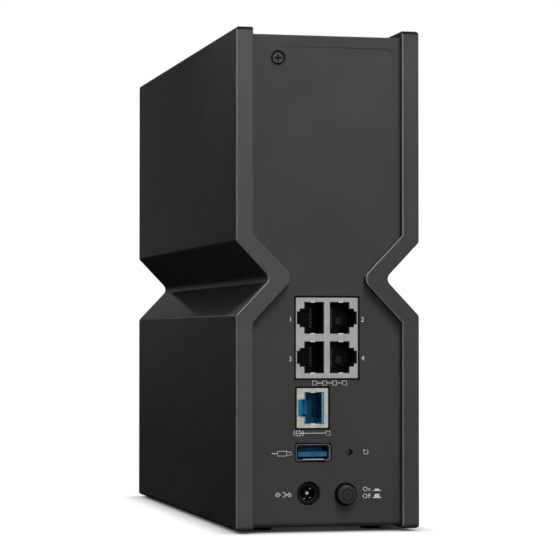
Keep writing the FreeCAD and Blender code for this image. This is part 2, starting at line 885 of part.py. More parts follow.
def jack_shield(bounds, depth, slots):
    """Thin metal case open towards the board, with the keyed openings in its front."""
    x0, x1, z0, z1 = bounds
    case = prism("y", rectangle(x0, x1, z0, z1, jack_corner), jack_face - depth, jack_face)
    room = box(x0 + jack_wall, x1 + past, jack_face - depth + jack_wall, jack_face - jack_wall,
               z0 + jack_wall, z1 - jack_wall)
    openings = [rj45_slot(*slot, jack_face - jack_wall - past, jack_face + past, shield_relief)
                for slot in slots]
    return case.cut([room] + openings)


def spring_pocket(contact_x, way, center_z):
    """Recess in a contact wall, from behind the springs' roots to the end of the cavity."""
    half = contact_count * contact_pitch / 2 + contact_pocket_margin
    x0, x1 = sorted((contact_x - way * contact_pocket, contact_x + way * slot_play))
    return box(x0, x1, jack_face - rj45_cavity_depth, jack_face - contact_start - contact_root,
               center_z - half, center_z + half)


def jack_insert(bounds, depth, slots):
    """Moulded housing inside the metal case, with a blind cavity for each plug."""
    x0, x1, z0, z1 = bounds
    fit = jack_wall + jack_fit
    front, back = jack_face - jack_wall, jack_face - depth + fit
    body = box(x0 + jack_wall, x1, back, front, z0 + fit, z1 - fit)
    foot = box(x1, board_face_x, back, rear_back - port_gap, z0 + fit, z1 - fit)
    body = body.fuse(foot)
    cavities = [rj45_slot(*slot, jack_face - rj45_cavity_depth, front + past) for slot in slots]
    pockets = [spring_pocket(*slot[:3]) for slot in slots]
    return body.cut(cavities + pockets).removeSplitter()


def contacts(slots):
    return [strip for slot in slots for strip in rj45_contacts(*slot[:3])]


def usb_ring(bounds, corner, y):
    return outline_wire(rectangle(*bounds, corner), lambda u, v: V(u, y, v))


def usb_shell():
    """Rolled metal tube with a flared mouth on three sides."""
    tube_front, back = jack_face - usb_flare, jack_face - usb_depth
    outer = usb_box(usb_tube_rise, usb_tube_width)
    inner = usb_box(usb_tube_rise, usb_tube_width, -usb_wall)
    lip = usb_box(usb_flange_rise, usb_flange_width)
    lip_in = usb_box(usb_flange_rise, usb_flange_width, -usb_wall)
    bend, lip_bend = usb_corner - usb_wall, usb_lip_corner - usb_wall
    tube = prism("y", rectangle(*outer, usb_corner), back, tube_front)
    tube = tube.cut(prism("y", rectangle(*inner, bend), back + usb_wall, tube_front + past))
    flare = Part.makeLoft([usb_ring(outer, usb_corner, tube_front), usb_ring(lip, usb_lip_corner, jack_face)],
                          True, True)
    hollow = Part.makeLoft([usb_ring(inner, bend, tube_front), usb_ring(lip_in, lip_bend, jack_face)],
                           True, True)
    gap = box(outer[0] + usb_gap_inset, outer[1] - usb_gap_inset, tube_front, jack_face + past,
              lip[2] - past, outer[2])
    legs = [box(outer[1] - 2 * usb_corner, board_face_x, back + usb_leg, back + 2 * usb_leg,
                z0, z0 + usb_wall) for z0 in (outer[2], outer[3] - usb_wall)]
    return tube.fuse([flare.cut(hollow).cut(gap)] + legs).removeSplitter()


def usb_tongue_front():
    return jack_face - usb_flare - usb_tongue_back


def usb_tongue():
    """Plastic core: a block that fills the back of the tube, with the contact tongue on it."""
    x0, x1, z0, z1 = usb_box(usb_tube_rise, usb_tube_width, -usb_wall)
    front = usb_tongue_front()
    block = prism("y", rectangle(x0, x1, z0, z1, usb_corner - usb_wall), jack_face - usb_depth + usb_wall,
                  front - usb_tongue_depth)
    middle, half = (x0 + x1) / 2, usb_tongue_rise / 2
    low = usb_center_z - usb_tongue_drop - usb_tongue_thick / 2
    tongue = box(middle - half, middle + half, front - usb_tongue_depth, front, low, low + usb_tongue_thick)
    return block.fuse(tongue).removeSplitter()


def usb_contacts():
    """Five flat contacts near the tip of the tongue and four long ones behind them."""
    middle = board_face_x - usb_flange_rise / 2
    z0 = usb_center_z - usb_tongue_drop + usb_tongue_thick / 2
    front = usb_tongue_front()
    rows = [((-4.0, -2.0, 0.0, 2.0, 4.0), 0.4, 0.5, 2.0, 0.12), ((-3.5, -1.0, 1.0, 3.5), 0.5, 2.6, 7.5, 0.2)]
    strips = []
    for places, half, start, end, height in rows:
        strips += [box(middle + x - half, middle + x + half, front - end, front - start, z0, z0 + height)
                   for x in places]
    return strips


def dc_jack():
    """Moulded jack: a square body behind the panel and a round nose in its hole."""
    x, z = dc_center
    back, front, half = rear_back - slot_play - dc_body_depth, rear_back - slot_play, dc_body_width / 2
    body = box(x - dc_body_width / 2 - dc_body_lap, board_face_x, back, front, z - half, z + half)
    nose = rod("y", dc_nose_radius, front, dc_face, x, z)
    bore = rod("y", dc_bore_radius, dc_face - dc_bore_depth, dc_face + past, x, z)
    root = dc_pin_root_half
    seat = box(x - root, x + root, back, dc_face - dc_bore_depth, z - root, z + root)
    return body.fuse(nose).cut([bore, seat]).removeSplitter()


def dc_pin():
    x, z = dc_center
    tip = dc_face - dc_pin_back
    start = dc_face - dc_bore_depth
    pin = rod("y", dc_pin_radius, start, tip, x, z)
    pin = pin.makeChamfer(dc_pin_bevel, end_edges(pin, tip))
    root = dc_pin_root_half
    return pin.fuse(box(x - root, x + root, start - dc_pin_root, start, z - root, z + root))


# ---------------------------------------------------------------- switch board, power and reset buttons
def switch_board():
    return box(switch_board_x - switch_board_thick, switch_board_x, rear_back - switch_board_front,
               rear_back - switch_board_rear, board_low, reset_center[1] + switch_board_above)


def board_spacers():
    """Two hexagonal pillars that carry the switch board off the main board."""
    y = rear_back - switch_board_front + spacer_inset
    return [hexagon(spacer_radius, y, z, switch_board_x, board_face_x)
            for z in (board_low + spacer_inset, reset_center[1] + spacer_inset)]


def power_switch():
    x, z = power_center
    half = x - switch_board_x
    room = stem_half + panel_gap
    body = box(switch_board_x, x + half, power_switch_rear - power_switch_length, power_switch_rear,
               z - half, z + half)
    well = box(x - room, x + room, power_switch_rear - stem_well, power_switch_rear + past,
               z - room, z + room)
    return body.cut(well)


def power_stem():
    """Square plunger of the switch: it moves with the button."""
    x, z = power_center
    start = power_switch_rear - stem_well + power_travel + slack_at_stop
    return box(x - stem_half, x + stem_half, start, cap_back + power_socket, z - stem_half, z + stem_half)


def power_button():
    """Round cap with a low dome and a flange that stops it behind the panel."""
    x, z = power_center
    domes = [Part.makeCone(wide, narrow, low - high, V(x, cap_face - low, z), V(0, 1, 0))
             for (wide, low), (narrow, high) in zip(power_dome, power_dome[1:])]
    cap = rod("y", power_cap_radius, cap_back, cap_face - power_dome[0][1], x, z)
    flange = rod("y", power_flange_radius, cap_back, cap_back + power_flange_thick, x, z)
    socket = box(x - stem_half, x + stem_half, cap_back - past, cap_back + power_socket,
                 z - stem_half, z + stem_half)
    return cap.fuse(domes + [flange]).cut(socket).removeSplitter()


def reset_switch():
    x, z = reset_center
    half, room = tact_half, reset_plunger_radius + panel_gap
    body = box(switch_board_x, x + half, reset_switch_front - tact_height, reset_switch_front,
               z - half, z + half)
    well = box(x - room, x + room, reset_switch_front - reset_well, reset_switch_front + past,
               z - room, z + room)
    return body.cut(well)


def reset_button():
    x, z = reset_center
    start = reset_switch_front - reset_well + reset_travel + slack_at_stop
    return rod("y", reset_plunger_radius, start, rear_back - reset_sunk, x, z)


# ---------------------------------------------------------------- side buttons
def side_button_board():
    low, high = side_board_edges()
    return box(side_board_x, side_board_x + side_board_thick, side_button_y - side_board_half,
               side_button_y + side_board_half, low, high)


def around_side_button(z, half, x0, x1):
    return box(x0, x1, side_button_y - half, side_button_y + half, z - half, z + half)


def side_switches():
    cases = []
    for z in side_button_heights:
        case = around_side_button(z, tact_half, side_board_x - tact_height, side_board_x)
        well = around_side_button(z, stub_half + panel_gap, side_board_x - tact_height - past,
                                  side_board_x - tact_height + tact_well)
        cases.append(case.cut(well))
    return cases


def side_button(z):
    """Pill cap with a flange behind the wall and a stub that rests in the switch."""
    back = side_wall_x + slack_at_stop + flange_thick
    cap = pill("x", (side_button_y, z), side_button_length, side_button_width, -half_width, back)
    reach_y, reach_z = side_button_length / 2 + flange_lap, side_button_width / 2 + flange_lap
    flange = box(side_wall_x + slack_at_stop, back, side_button_y - reach_y, side_button_y + reach_y,
                 z - reach_z, z + reach_z)
    tip = side_board_x - tact_height + tact_well - side_button_travel - slack_at_stop
    return cap.fuse([flange, around_side_button(z, stub_half, back, tip)]).removeSplitter()


# ---------------------------------------------------------------- heat sinks, chips and pads
def fin_rows():
    return slot_rows(sink_front + fin_margin, sink_rear - fin_margin, fin_pitch)


def heat_sink():
    """Extruded plate with upright fins."""
    plate_low = sink_face - sink_plate
    points = [(sink_face, sink_front), (sink_face, sink_rear), (plate_low, sink_rear)]
    for y in fin_rows()[::-1]:
        points += [(plate_low, y + fin_thick / 2), (plate_low - fin_height, y + fin_thick / 2),
                   (plate_low - fin_height, y - fin_thick / 2), (plate_low, y - fin_thick / 2)]
    points.append((plate_low, sink_front))
    return prism("z", points, sink_low, sink_high)


def heat_sink_clips():
    """Bent spring strips: a foot on the board, a riser, and a lip over the edge of the plate."""
    x_foot, x_lip = board_face_x, sink_face - sink_plate
    clips = []
    for edge, way in ((sink_front, -1), (sink_rear, 1)):
        def at(step):
            return edge + way * step
        points = [(x_foot, at(0)), (x_foot, at(clip_foot)), (x_foot - clip_thick, at(clip_foot)),
                  (x_foot - clip_thick, at(clip_thick)), (x_lip - clip_thick, at(clip_thick)),
                  (x_lip - clip_thick, at(-clip_lip)), (x_lip, at(-clip_lip)), (x_lip, at(0))]
        for z in (sink_low + clip_inset, sink_high - clip_inset - clip_length):
            clips.append(prism("z", points, z, z + clip_length))
    return clips


def board_blocks(places, far_x, near_x, inset=0.0):
    """Flat blocks between two planes; a place is its offset along the depth, its share of the sink's
    height and two half sizes."""
    blocks = []
    for offset, share, long_half, high_half in places:
        y = (sink_front + sink_rear) / 2 + offset
        z = sink_low + (sink_high - sink_low) * share
        half_y, half_z = long_half - inset, high_half - inset
        blocks.append(box(far_x, near_x, y - half_y, y + half_y, z - half_z, z + half_z))
    return blocks


def processor_chips():
    return board_blocks(chip_places, board_face_x - chip_height, board_face_x)


def radio_cans():
    return board_blocks(can_places, board_face_x - chip_height, board_face_x)


def thermal_pads():
    return board_blocks(chip_places + can_places, sink_face, sink_face + pad_thick, pad_inset)


def spreader_spans():
    """Low and high edge of the flat heat spreaders, clear of the drawn-in waist."""
    clear = fold_half_height + spreader_clear
    return [(board_low + spreader_inset, waist_z - clear), (waist_z + clear, board_high - spreader_inset)]


def heat_spreaders():
    x0 = board_back_x + pad_thick
    return [box(x0, x0 + spreader_thick, sink_front + sink_margin, sink_rear, low, high)
            for low, high in spreader_spans()]


def spreader_pads():
    inset = spreader_pad_inset
    return [box(board_back_x, board_back_x + pad_thick, sink_front + sink_margin + inset, sink_rear - inset,
                low + inset, high - inset) for low, high in spreader_spans()]


def power_components():
    """Electrolytic capacitors and square inductors between the inlet and the heat sink."""
    y = rear_back - power_parts_behind
    caps = [rod("x", capacitor_radius, board_face_x - capacitor_height, board_face_x, y, z)
            for z in capacitor_heights]
    half = inductor_half
    coils = [box(board_face_x - inductor_height, board_face_x, y - half, y + half, z - half, z + half)
             for z in inductor_heights]
    return caps + coils


def line_transformers():
    y, half = rear_back - power_parts_behind, transformer_half
    rows = [transformer_low + i * transformer_pitch for i in range(transformer_count)]
    return [box(board_face_x - transformer_height, board_face_x, y - half, y + half, z - half, z + half)
            for z in rows]


# ---------------------------------------------------------------- antennas
def antenna_rows(first, last, gap):
    """Low edge and length of upright antennas that share the height between two levels."""
    length = (last - first - gap) / antenna_rows_each - gap
    return [(first + gap + i * (length + gap), length) for i in range(antenna_rows_each)]


def front_rows():
    return antenna_rows(board_low, board_high, front_antenna_gap)


def rear_rows():
    return antenna_rows(lan_center_z + lan_block_width / 2, board_high - carrier_rail, rear_antenna_gap)


def front_antenna_bracket():
    """Slotted bar along the front edge of the board."""
    y0, y1 = board_front - bracket_depth, board_front
    bar = box(antenna_low_x, board_face_x, y0, y1, board_low, board_high)
    windows = [box(antenna_low_x + bracket_rail, carrier_x - bracket_rail, y0 - past, y1 + past,
                   low + bracket_rail, low + length - bracket_rail) for low, length in front_rows()]
    return bar.cut(windows)


def antenna_boards(rows, y0):
    return [box(antenna_low_x, antenna_low_x + antenna_width, y0, y0 + antenna_thick, low, low + length)
            for low, length in rows]


def front_antennas():
    return antenna_boards(front_rows(), board_front - bracket_depth - antenna_thick)


def rear_antenna_bracket():
    y0, rows = board_rear - rear_bracket_inset, rear_rows()
    return box(antenna_low_x, board_face_x, y0, y0 + bracket_depth,
               rows[0][0] - bracket_rail, rows[-1][0] + rows[-1][1] + bracket_rail)


def rear_antennas():
    return antenna_boards(rear_rows(), board_rear - rear_bracket_inset + bracket_depth)


plug_y = board_front + carrier_rail + plug_half + slack_at_stop


def antenna_lead(z):
    """Flat lead in a level plane: out from the antenna, back past the post and across to its plug."""
    r, bend = lead_radius, lead_bend
    nick = r * math.tan(math.pi / 8)
    x0, x1, side_x = antenna_low_x + lead_start, board_face_x - plug_height, antenna_low_x - lead_side
    y0, y1 = board_front - bracket_depth - antenna_thick - r, plug_y
    points = [(x0, y0 - r), (side_x + bend, y0 - r), (side_x - r, y0 + bend - nick),
              (side_x - r, y1 - bend + nick), (side_x + bend, y1 + r), (x1, y1 + r), (x1, y1 - r),
              (side_x + bend + nick, y1 - r), (side_x + r, y1 - bend - nick),
              (side_x + r, y0 + bend + nick), (side_x + bend + nick, y0 + r), (x0, y0 + r)]
    return prism("z", points, z - r, z + r)


def antenna_leads():
    return [antenna_lead(low + length / 2) for low, length in front_rows()]


def antenna_plugs():
    """Snap connectors on the board where the leads end."""
    half = plug_half
    return [box(board_face_x - plug_height, board_face_x, plug_y - half, plug_y + half, z - half, z + half)
            for z in (low + length / 2 for low, length in front_rows())]


# ---------------------------------------------------------------- build
os.makedirs("parts", exist_ok=True)

save("right_side_shell", right_side_shell())
save("left_side_shell", left_side_shell())
save("rear_panel", rear_panel())
save("front_panel", front_panel())
save("top_grille", top_grille())
save("bottom_base", bottom_base())
save("rubber_feet", rubber_feet())
save("rear_panel_screw", rear_panel_screw())

save("status_light_lens", status_light_lens())
save("light_board", light_board())
save("light_leds", light_leds())

save("board_carrier", board_carrier())
save("main_board", main_board())
save("heat_sink", heat_sink())
save("heat_sink_clips", heat_sink_clips())
save("heat_spreaders", heat_spreaders())
save("processor_and_memory", processor_chips())
save("radio_shield_cans", radio_cans())
save("thermal_pads", thermal_pads())
save("spreader_pads", spreader_pads())
save("power_components", power_components())
save("line_transformers", line_transformers())

save("lan_jack_shield", jack_shield(lan_box(), lan_block_depth, lan_slots()))
save("lan_jack_insert", jack_insert(lan_box(), lan_block_depth, lan_slots()))
save("lan_jack_contacts", contacts(lan_slots()))
save("wan_jack_shield", jack_shield(wan_box(), wan_depth, wan_slots()))
save("wan_jack_insert", jack_insert(wan_box(), wan_depth, wan_slots()))
save("wan_jack_contacts", contacts(wan_slots()))
save("usb_shell", usb_shell())
save("usb_tongue", usb_tongue())
save("usb_contacts", usb_contacts())
save("dc_jack_body", dc_jack())
save("dc_jack_pin", dc_pin())

save("switch_board", switch_board())
save("board_spacers", board_spacers())
save("power_switch", power_switch())
save("power_switch_stem", power_stem())
save("power_button", power_button())
save("reset_switch", reset_switch())
save("reset_button", reset_button())

save("side_button_board", side_button_board())
save("side_switches", side_switches())
save("pairing_button", side_button(side_button_heights[0]))
save("light_button", side_button(side_button_heights[1]))

save("front_antenna_bracket", front_antenna_bracket())
save("front_antennas", front_antennas())
save("rear_antenna_bracket", rear_antenna_bracket())
save("rear_antennas", rear_antennas())
save("antenna_leads", antenna_leads())
save("antenna_plugs", antenna_plugs())

for name, shape in made:
    print(name, len(shape.Solids), "solids", "valid" if shape.isValid() else "NOT VALID",
          round(shape.Volume / 1000, 2), "cm3")
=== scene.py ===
import math
import bmesh
import bpy
from mathutils import Matrix, Vector


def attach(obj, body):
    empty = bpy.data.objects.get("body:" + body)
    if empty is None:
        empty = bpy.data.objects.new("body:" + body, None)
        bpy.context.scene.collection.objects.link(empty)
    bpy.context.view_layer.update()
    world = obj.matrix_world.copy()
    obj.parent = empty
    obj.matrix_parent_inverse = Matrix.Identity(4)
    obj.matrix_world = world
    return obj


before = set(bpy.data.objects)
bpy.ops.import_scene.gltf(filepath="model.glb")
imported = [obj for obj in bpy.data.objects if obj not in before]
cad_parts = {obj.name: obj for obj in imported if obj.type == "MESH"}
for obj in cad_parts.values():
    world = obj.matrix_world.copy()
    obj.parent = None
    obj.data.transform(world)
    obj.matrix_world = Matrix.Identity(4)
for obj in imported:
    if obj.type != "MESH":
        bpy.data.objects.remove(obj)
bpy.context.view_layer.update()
mm = 0.001
scene = bpy.context.scene


# ---- camera: a long lens low behind the router, looking very slightly up
cameraSet = {
    "place": (0.232495, 1.033455, 0.078115),
    "turn": 0.22754,      # radians, from straight ahead along -Y towards -X
    "lift": 0.024736,
    "lens": 151.09,
    "sensor": 36.0,
}


def makeCamera(values):
    turn, lift = values["turn"], values["lift"]
    ahead = Vector((-math.sin(turn) * math.cos(lift), -math.cos(turn) * math.cos(lift), math.sin(lift)))
    camera = bpy.data.objects.new("camera", bpy.data.cameras.new("camera"))
    camera.data.lens = values["lens"]
    camera.data.sensor_width = values["sensor"]
    camera.data.clip_start = 0.05
    camera.data.clip_end = 60.0
    camera.location = values["place"]
    camera.rotation_mode = "QUATERNION"
    camera.rotation_quaternion = ahead.to_track_quat("-Z", "Y")
    scene.collection.objects.link(camera)
    scene.camera = camera


makeCamera(cameraSet)
print("camera placed")


# ---- materials
def linearColour(code):
    parts = [int(code[i:i + 2], 16) / 255 for i in (1, 3, 5)]
    return tuple(c / 12.92 if c <= 0.04045 else ((c + 0.055) / 1.055) ** 2.4 for c in parts) + (1.0,)


def addNode(tree, kind, links=None, **settings):
    # links: input name or number -> a plain value, or (node, output name)
    node = tree.nodes.new(kind)
    for name, value in settings.items():
        setattr(node, name, value)
    for name, value in (links or {}).items():
        if isinstance(value, tuple) and isinstance(value[0], bpy.types.Node):
            tree.links.new(value[0].outputs[value[1]], node.inputs[name])
        else:
            node.inputs[name].default_value = value
    return node


def perMm(size):
    # noise scale that gives features of this many millimetres in object space
    return 1.0 / (size * mm)


def startMaterial(name):
    material = bpy.data.materials.new(name)
    material.use_nodes = True
    tree = material.node_tree
    tree.nodes.clear()
    output = addNode(tree, "ShaderNodeOutputMaterial")
    place = addNode(tree, "ShaderNodeTexCoord")
    return material, tree, output, place


def softBand(tree, value, stops):
    # black, white, white, black at these four levels of the value
    band = addNode(tree, "ShaderNodeValToRGB", {"Fac": value})
    band.color_ramp.elements[0].position = stops[0]
    band.color_ramp.elements[1].position = stops[1]
    for position, level in ((stops[2], 1.0), (stops[3], 0.0)):
        band.color_ramp.elements.new(position).color = (level, level, level, 1.0)
    return band


def shellPaintedLightAndGloss(tree, place, paintedLightAndGloss, colour, gloss):
    surface = addNode(tree, "ShaderNodeNewGeometry")
    way = addNode(tree, "ShaderNodeSeparateXYZ", {"Vector": (surface, "Normal")})
    height = addNode(tree, "ShaderNodeSeparateXYZ", {"Vector": (place, "Object")})
    # painted highlight: the corner down the rear and the ridge under the waist are painted paler where light would
    # catch them
    corner = addNode(tree, "ShaderNodeMath", {0: (way, "X"), 1: (way, "Y")}, operation="MULTIPLY")
    onCorner = addNode(tree, "ShaderNodeMapRange", {"Value": (corner, "Value"), "From Min": paintedLightAndGloss["corner"][0],
                                                     "From Max": paintedLightAndGloss["corner"][1]})
    ridge = softBand(tree, (way, "Z"), paintedLightAndGloss["ridge"])
    below = addNode(tree, "ShaderNodeMapRange", {"Value": (height, "Z"), "From Min": paintedLightAndGloss["ridgeBelow"] * mm,
                                                  "From Max": (paintedLightAndGloss["ridgeBelow"] + 10.0) * mm,
                                                  "To Min": 1.0, "To Max": 0.0})
    facing = addNode(tree, "ShaderNodeMath", {0: (below, "Result"), 1: (way, "X")}, operation="MULTIPLY")
    onRidge = addNode(tree, "ShaderNodeMath", {0: (ridge, "Color"), 1: (facing, "Value")}, operation="MULTIPLY",
                      use_clamp=True)
    both = addNode(tree, "ShaderNodeMath", {0: (onCorner, "Result"), 1: (onRidge, "Value")}, operation="MAXIMUM")
    edge = addNode(tree, "ShaderNodeMix", {"Factor": (both, "Value"), 6: colour, 7: linearColour(paintedLightAndGloss["paintedHighlight"])},
                   data_type="RGBA")
    # painted shade: the rounded top edge is painted darker, where no light falls on it
    up = softBand(tree, (way, "Z"), paintedLightAndGloss["topEdge"])
    atTop = addNode(tree, "ShaderNodeMapRange", {"Value": (height, "Z"), "From Min": paintedLightAndGloss["topHeights"][0] * mm,
                                                  "From Max": paintedLightAndGloss["topHeights"][1] * mm})
    paintedTopShadeMask = addNode(tree, "ShaderNodeMath", {0: (up, "Color"), 1: (atTop, "Result")}, operation="MULTIPLY")
    paintedTopShade = addNode(tree, "ShaderNodeMix", {"Factor": (paintedTopShadeMask, "Value"), 6: (edge, 2),
                                              7: linearColour(paintedLightAndGloss["paintedTopShade"])}, data_type="RGBA")
    # duller low down, and quite dull on faces that look down
    dulled = addNode(tree, "ShaderNodeMapRange", {"Value": (height, "Z"), "From Min": paintedLightAndGloss["dullHeights"][0] * mm,
                                                   "From Max": paintedLightAndGloss["dullHeights"][1] * mm,
                                                   "To Min": paintedLightAndGloss["dullLow"], "To Max": 0.0})
    worn = addNode(tree, "ShaderNodeMath", {0: (gloss, "Result"), 1: (dulled, "Result")}, operation="ADD")
    gloss = addNode(tree, "ShaderNodeMapRange", {"Value": (way, "Z"), "From Min": paintedLightAndGloss["under"][0],
                                                  "From Max": paintedLightAndGloss["under"][1],
                                                  "To Min": paintedLightAndGloss["dullUnder"], "To Max": (worn, "Value")})
    return (paintedTopShade, 2), gloss


def mouldedPlastic(name, look):
    # slow mottling between two colours, and a fine grain that moves the gloss and the bump
    material, tree, output, place = startMaterial(name)
    at = {"Vector": (place, "Object")}
    mottle = addNode(tree, "ShaderNodeTexNoise", {**at, "Scale": perMm(look["mottle"]), "Detail": 3.0})
    grain = addNode(tree, "ShaderNodeTexNoise", {**at, "Scale": perMm(look["grain"]), "Detail": 2.0})
    ramp = addNode(tree, "ShaderNodeValToRGB", {"Fac": (mottle, "Fac")})
    ramp.color_ramp.elements[0].position = 0.35
    ramp.color_ramp.elements[1].position = 0.65
    ramp.color_ramp.elements[0].color = linearColour(look["dark"])
    ramp.color_ramp.elements[1].color = linearColour(look["pale"])
    gloss = addNode(tree, "ShaderNodeMapRange", {"Value": (grain, "Fac"), "From Min": 0.3, "From Max": 0.7,
                                                  "To Min": look["smooth"], "To Max": look["rough"]})
    bump = addNode(tree, "ShaderNodeBump", {"Height": (grain, "Fac"), "Strength": look["strength"],
                                            "Distance": look["height"] * mm})
    colour = (ramp, "Color")
    if "paintedLightAndGloss" in look:
        colour, gloss = shellPaintedLightAndGloss(tree, place, look["paintedLightAndGloss"], colour, gloss)
    shader = addNode(tree, "ShaderNodeBsdfPrincipled", {
        "Base Color": colour, "Roughness": (gloss, "Result"), "Normal": (bump, "Normal"),
        "IOR": look["ior"], "Specular IOR Level": look.get("specular", 0.5)})
    tree.links.new(shader.outputs["BSDF"], output.inputs["Surface"])
    return material


def platedMetal(name, look):
    # cloudy between two colours, with drawn lines that move the gloss and the bump
    material, tree, output, place = startMaterial(name)
    stretch = addNode(tree, "ShaderNodeMapping", {"Vector": (place, "Object"), "Scale": look["stretch"]})
    lines = addNode(tree, "ShaderNodeTexNoise", {"Vector": (stretch, "Vector"), "Scale": perMm(look["line"]),
                                                 "Detail": 3.0})
    cloud = addNode(tree, "ShaderNodeTexNoise", {"Vector": (place, "Object"), "Scale": perMm(look["mottle"])})
    ramp = addNode(tree, "ShaderNodeValToRGB", {"Fac": (cloud, "Fac")})
    ramp.color_ramp.elements[0].position = 0.3
    ramp.color_ramp.elements[1].position = 0.7
    ramp.color_ramp.elements[0].color = linearColour(look["dark"])
    ramp.color_ramp.elements[1].color = linearColour(look["pale"])
    gloss = addNode(tree, "ShaderNodeMapRange", {"Value": (lines, "Fac"), "From Min": 0.3, "From Max": 0.7,
                                                  "To Min": look["smooth"], "To Max": look["rough"]})
    bump = addNode(tree, "ShaderNodeBump", {"Height": (lines, "Fac"), "Strength": look["strength"],
                                            "Distance": look["height"] * mm})
    shader = addNode(tree, "ShaderNodeBsdfPrincipled", {
        "Base Color": (ramp, "Color"), "Roughness": (gloss, "Result"), "Normal": (bump, "Normal"),
        "Metallic": 1.0})
    tree.links.new(shader.outputs["BSDF"], output.inputs["Surface"])
    return material


# angles are parts of the surface normal, heights are millimetres from the floor
# painted highlight on the rear corner and the ridge under the waist, painted shade on the top edge, and gloss that
# drops low down and on faces that look down
shellPaintedLightAndGlossSet = {
    "paintedHighlight": "#a0a0a1", "corner": (0.15, 0.4),
    "ridge": (0.2, 0.36, 0.5, 0.62), "ridgeBelow": 150.0,
    "paintedTopShade": "#262627", "topEdge": (0.15, 0.45, 0.85, 0.97), "topHeights": (198.0, 201.5),
    "dullLow": 0.3, "dullHeights": (30.0, 100.0),
    "dullUnder": 1.0, "under": (-0.3, -0.05),
}
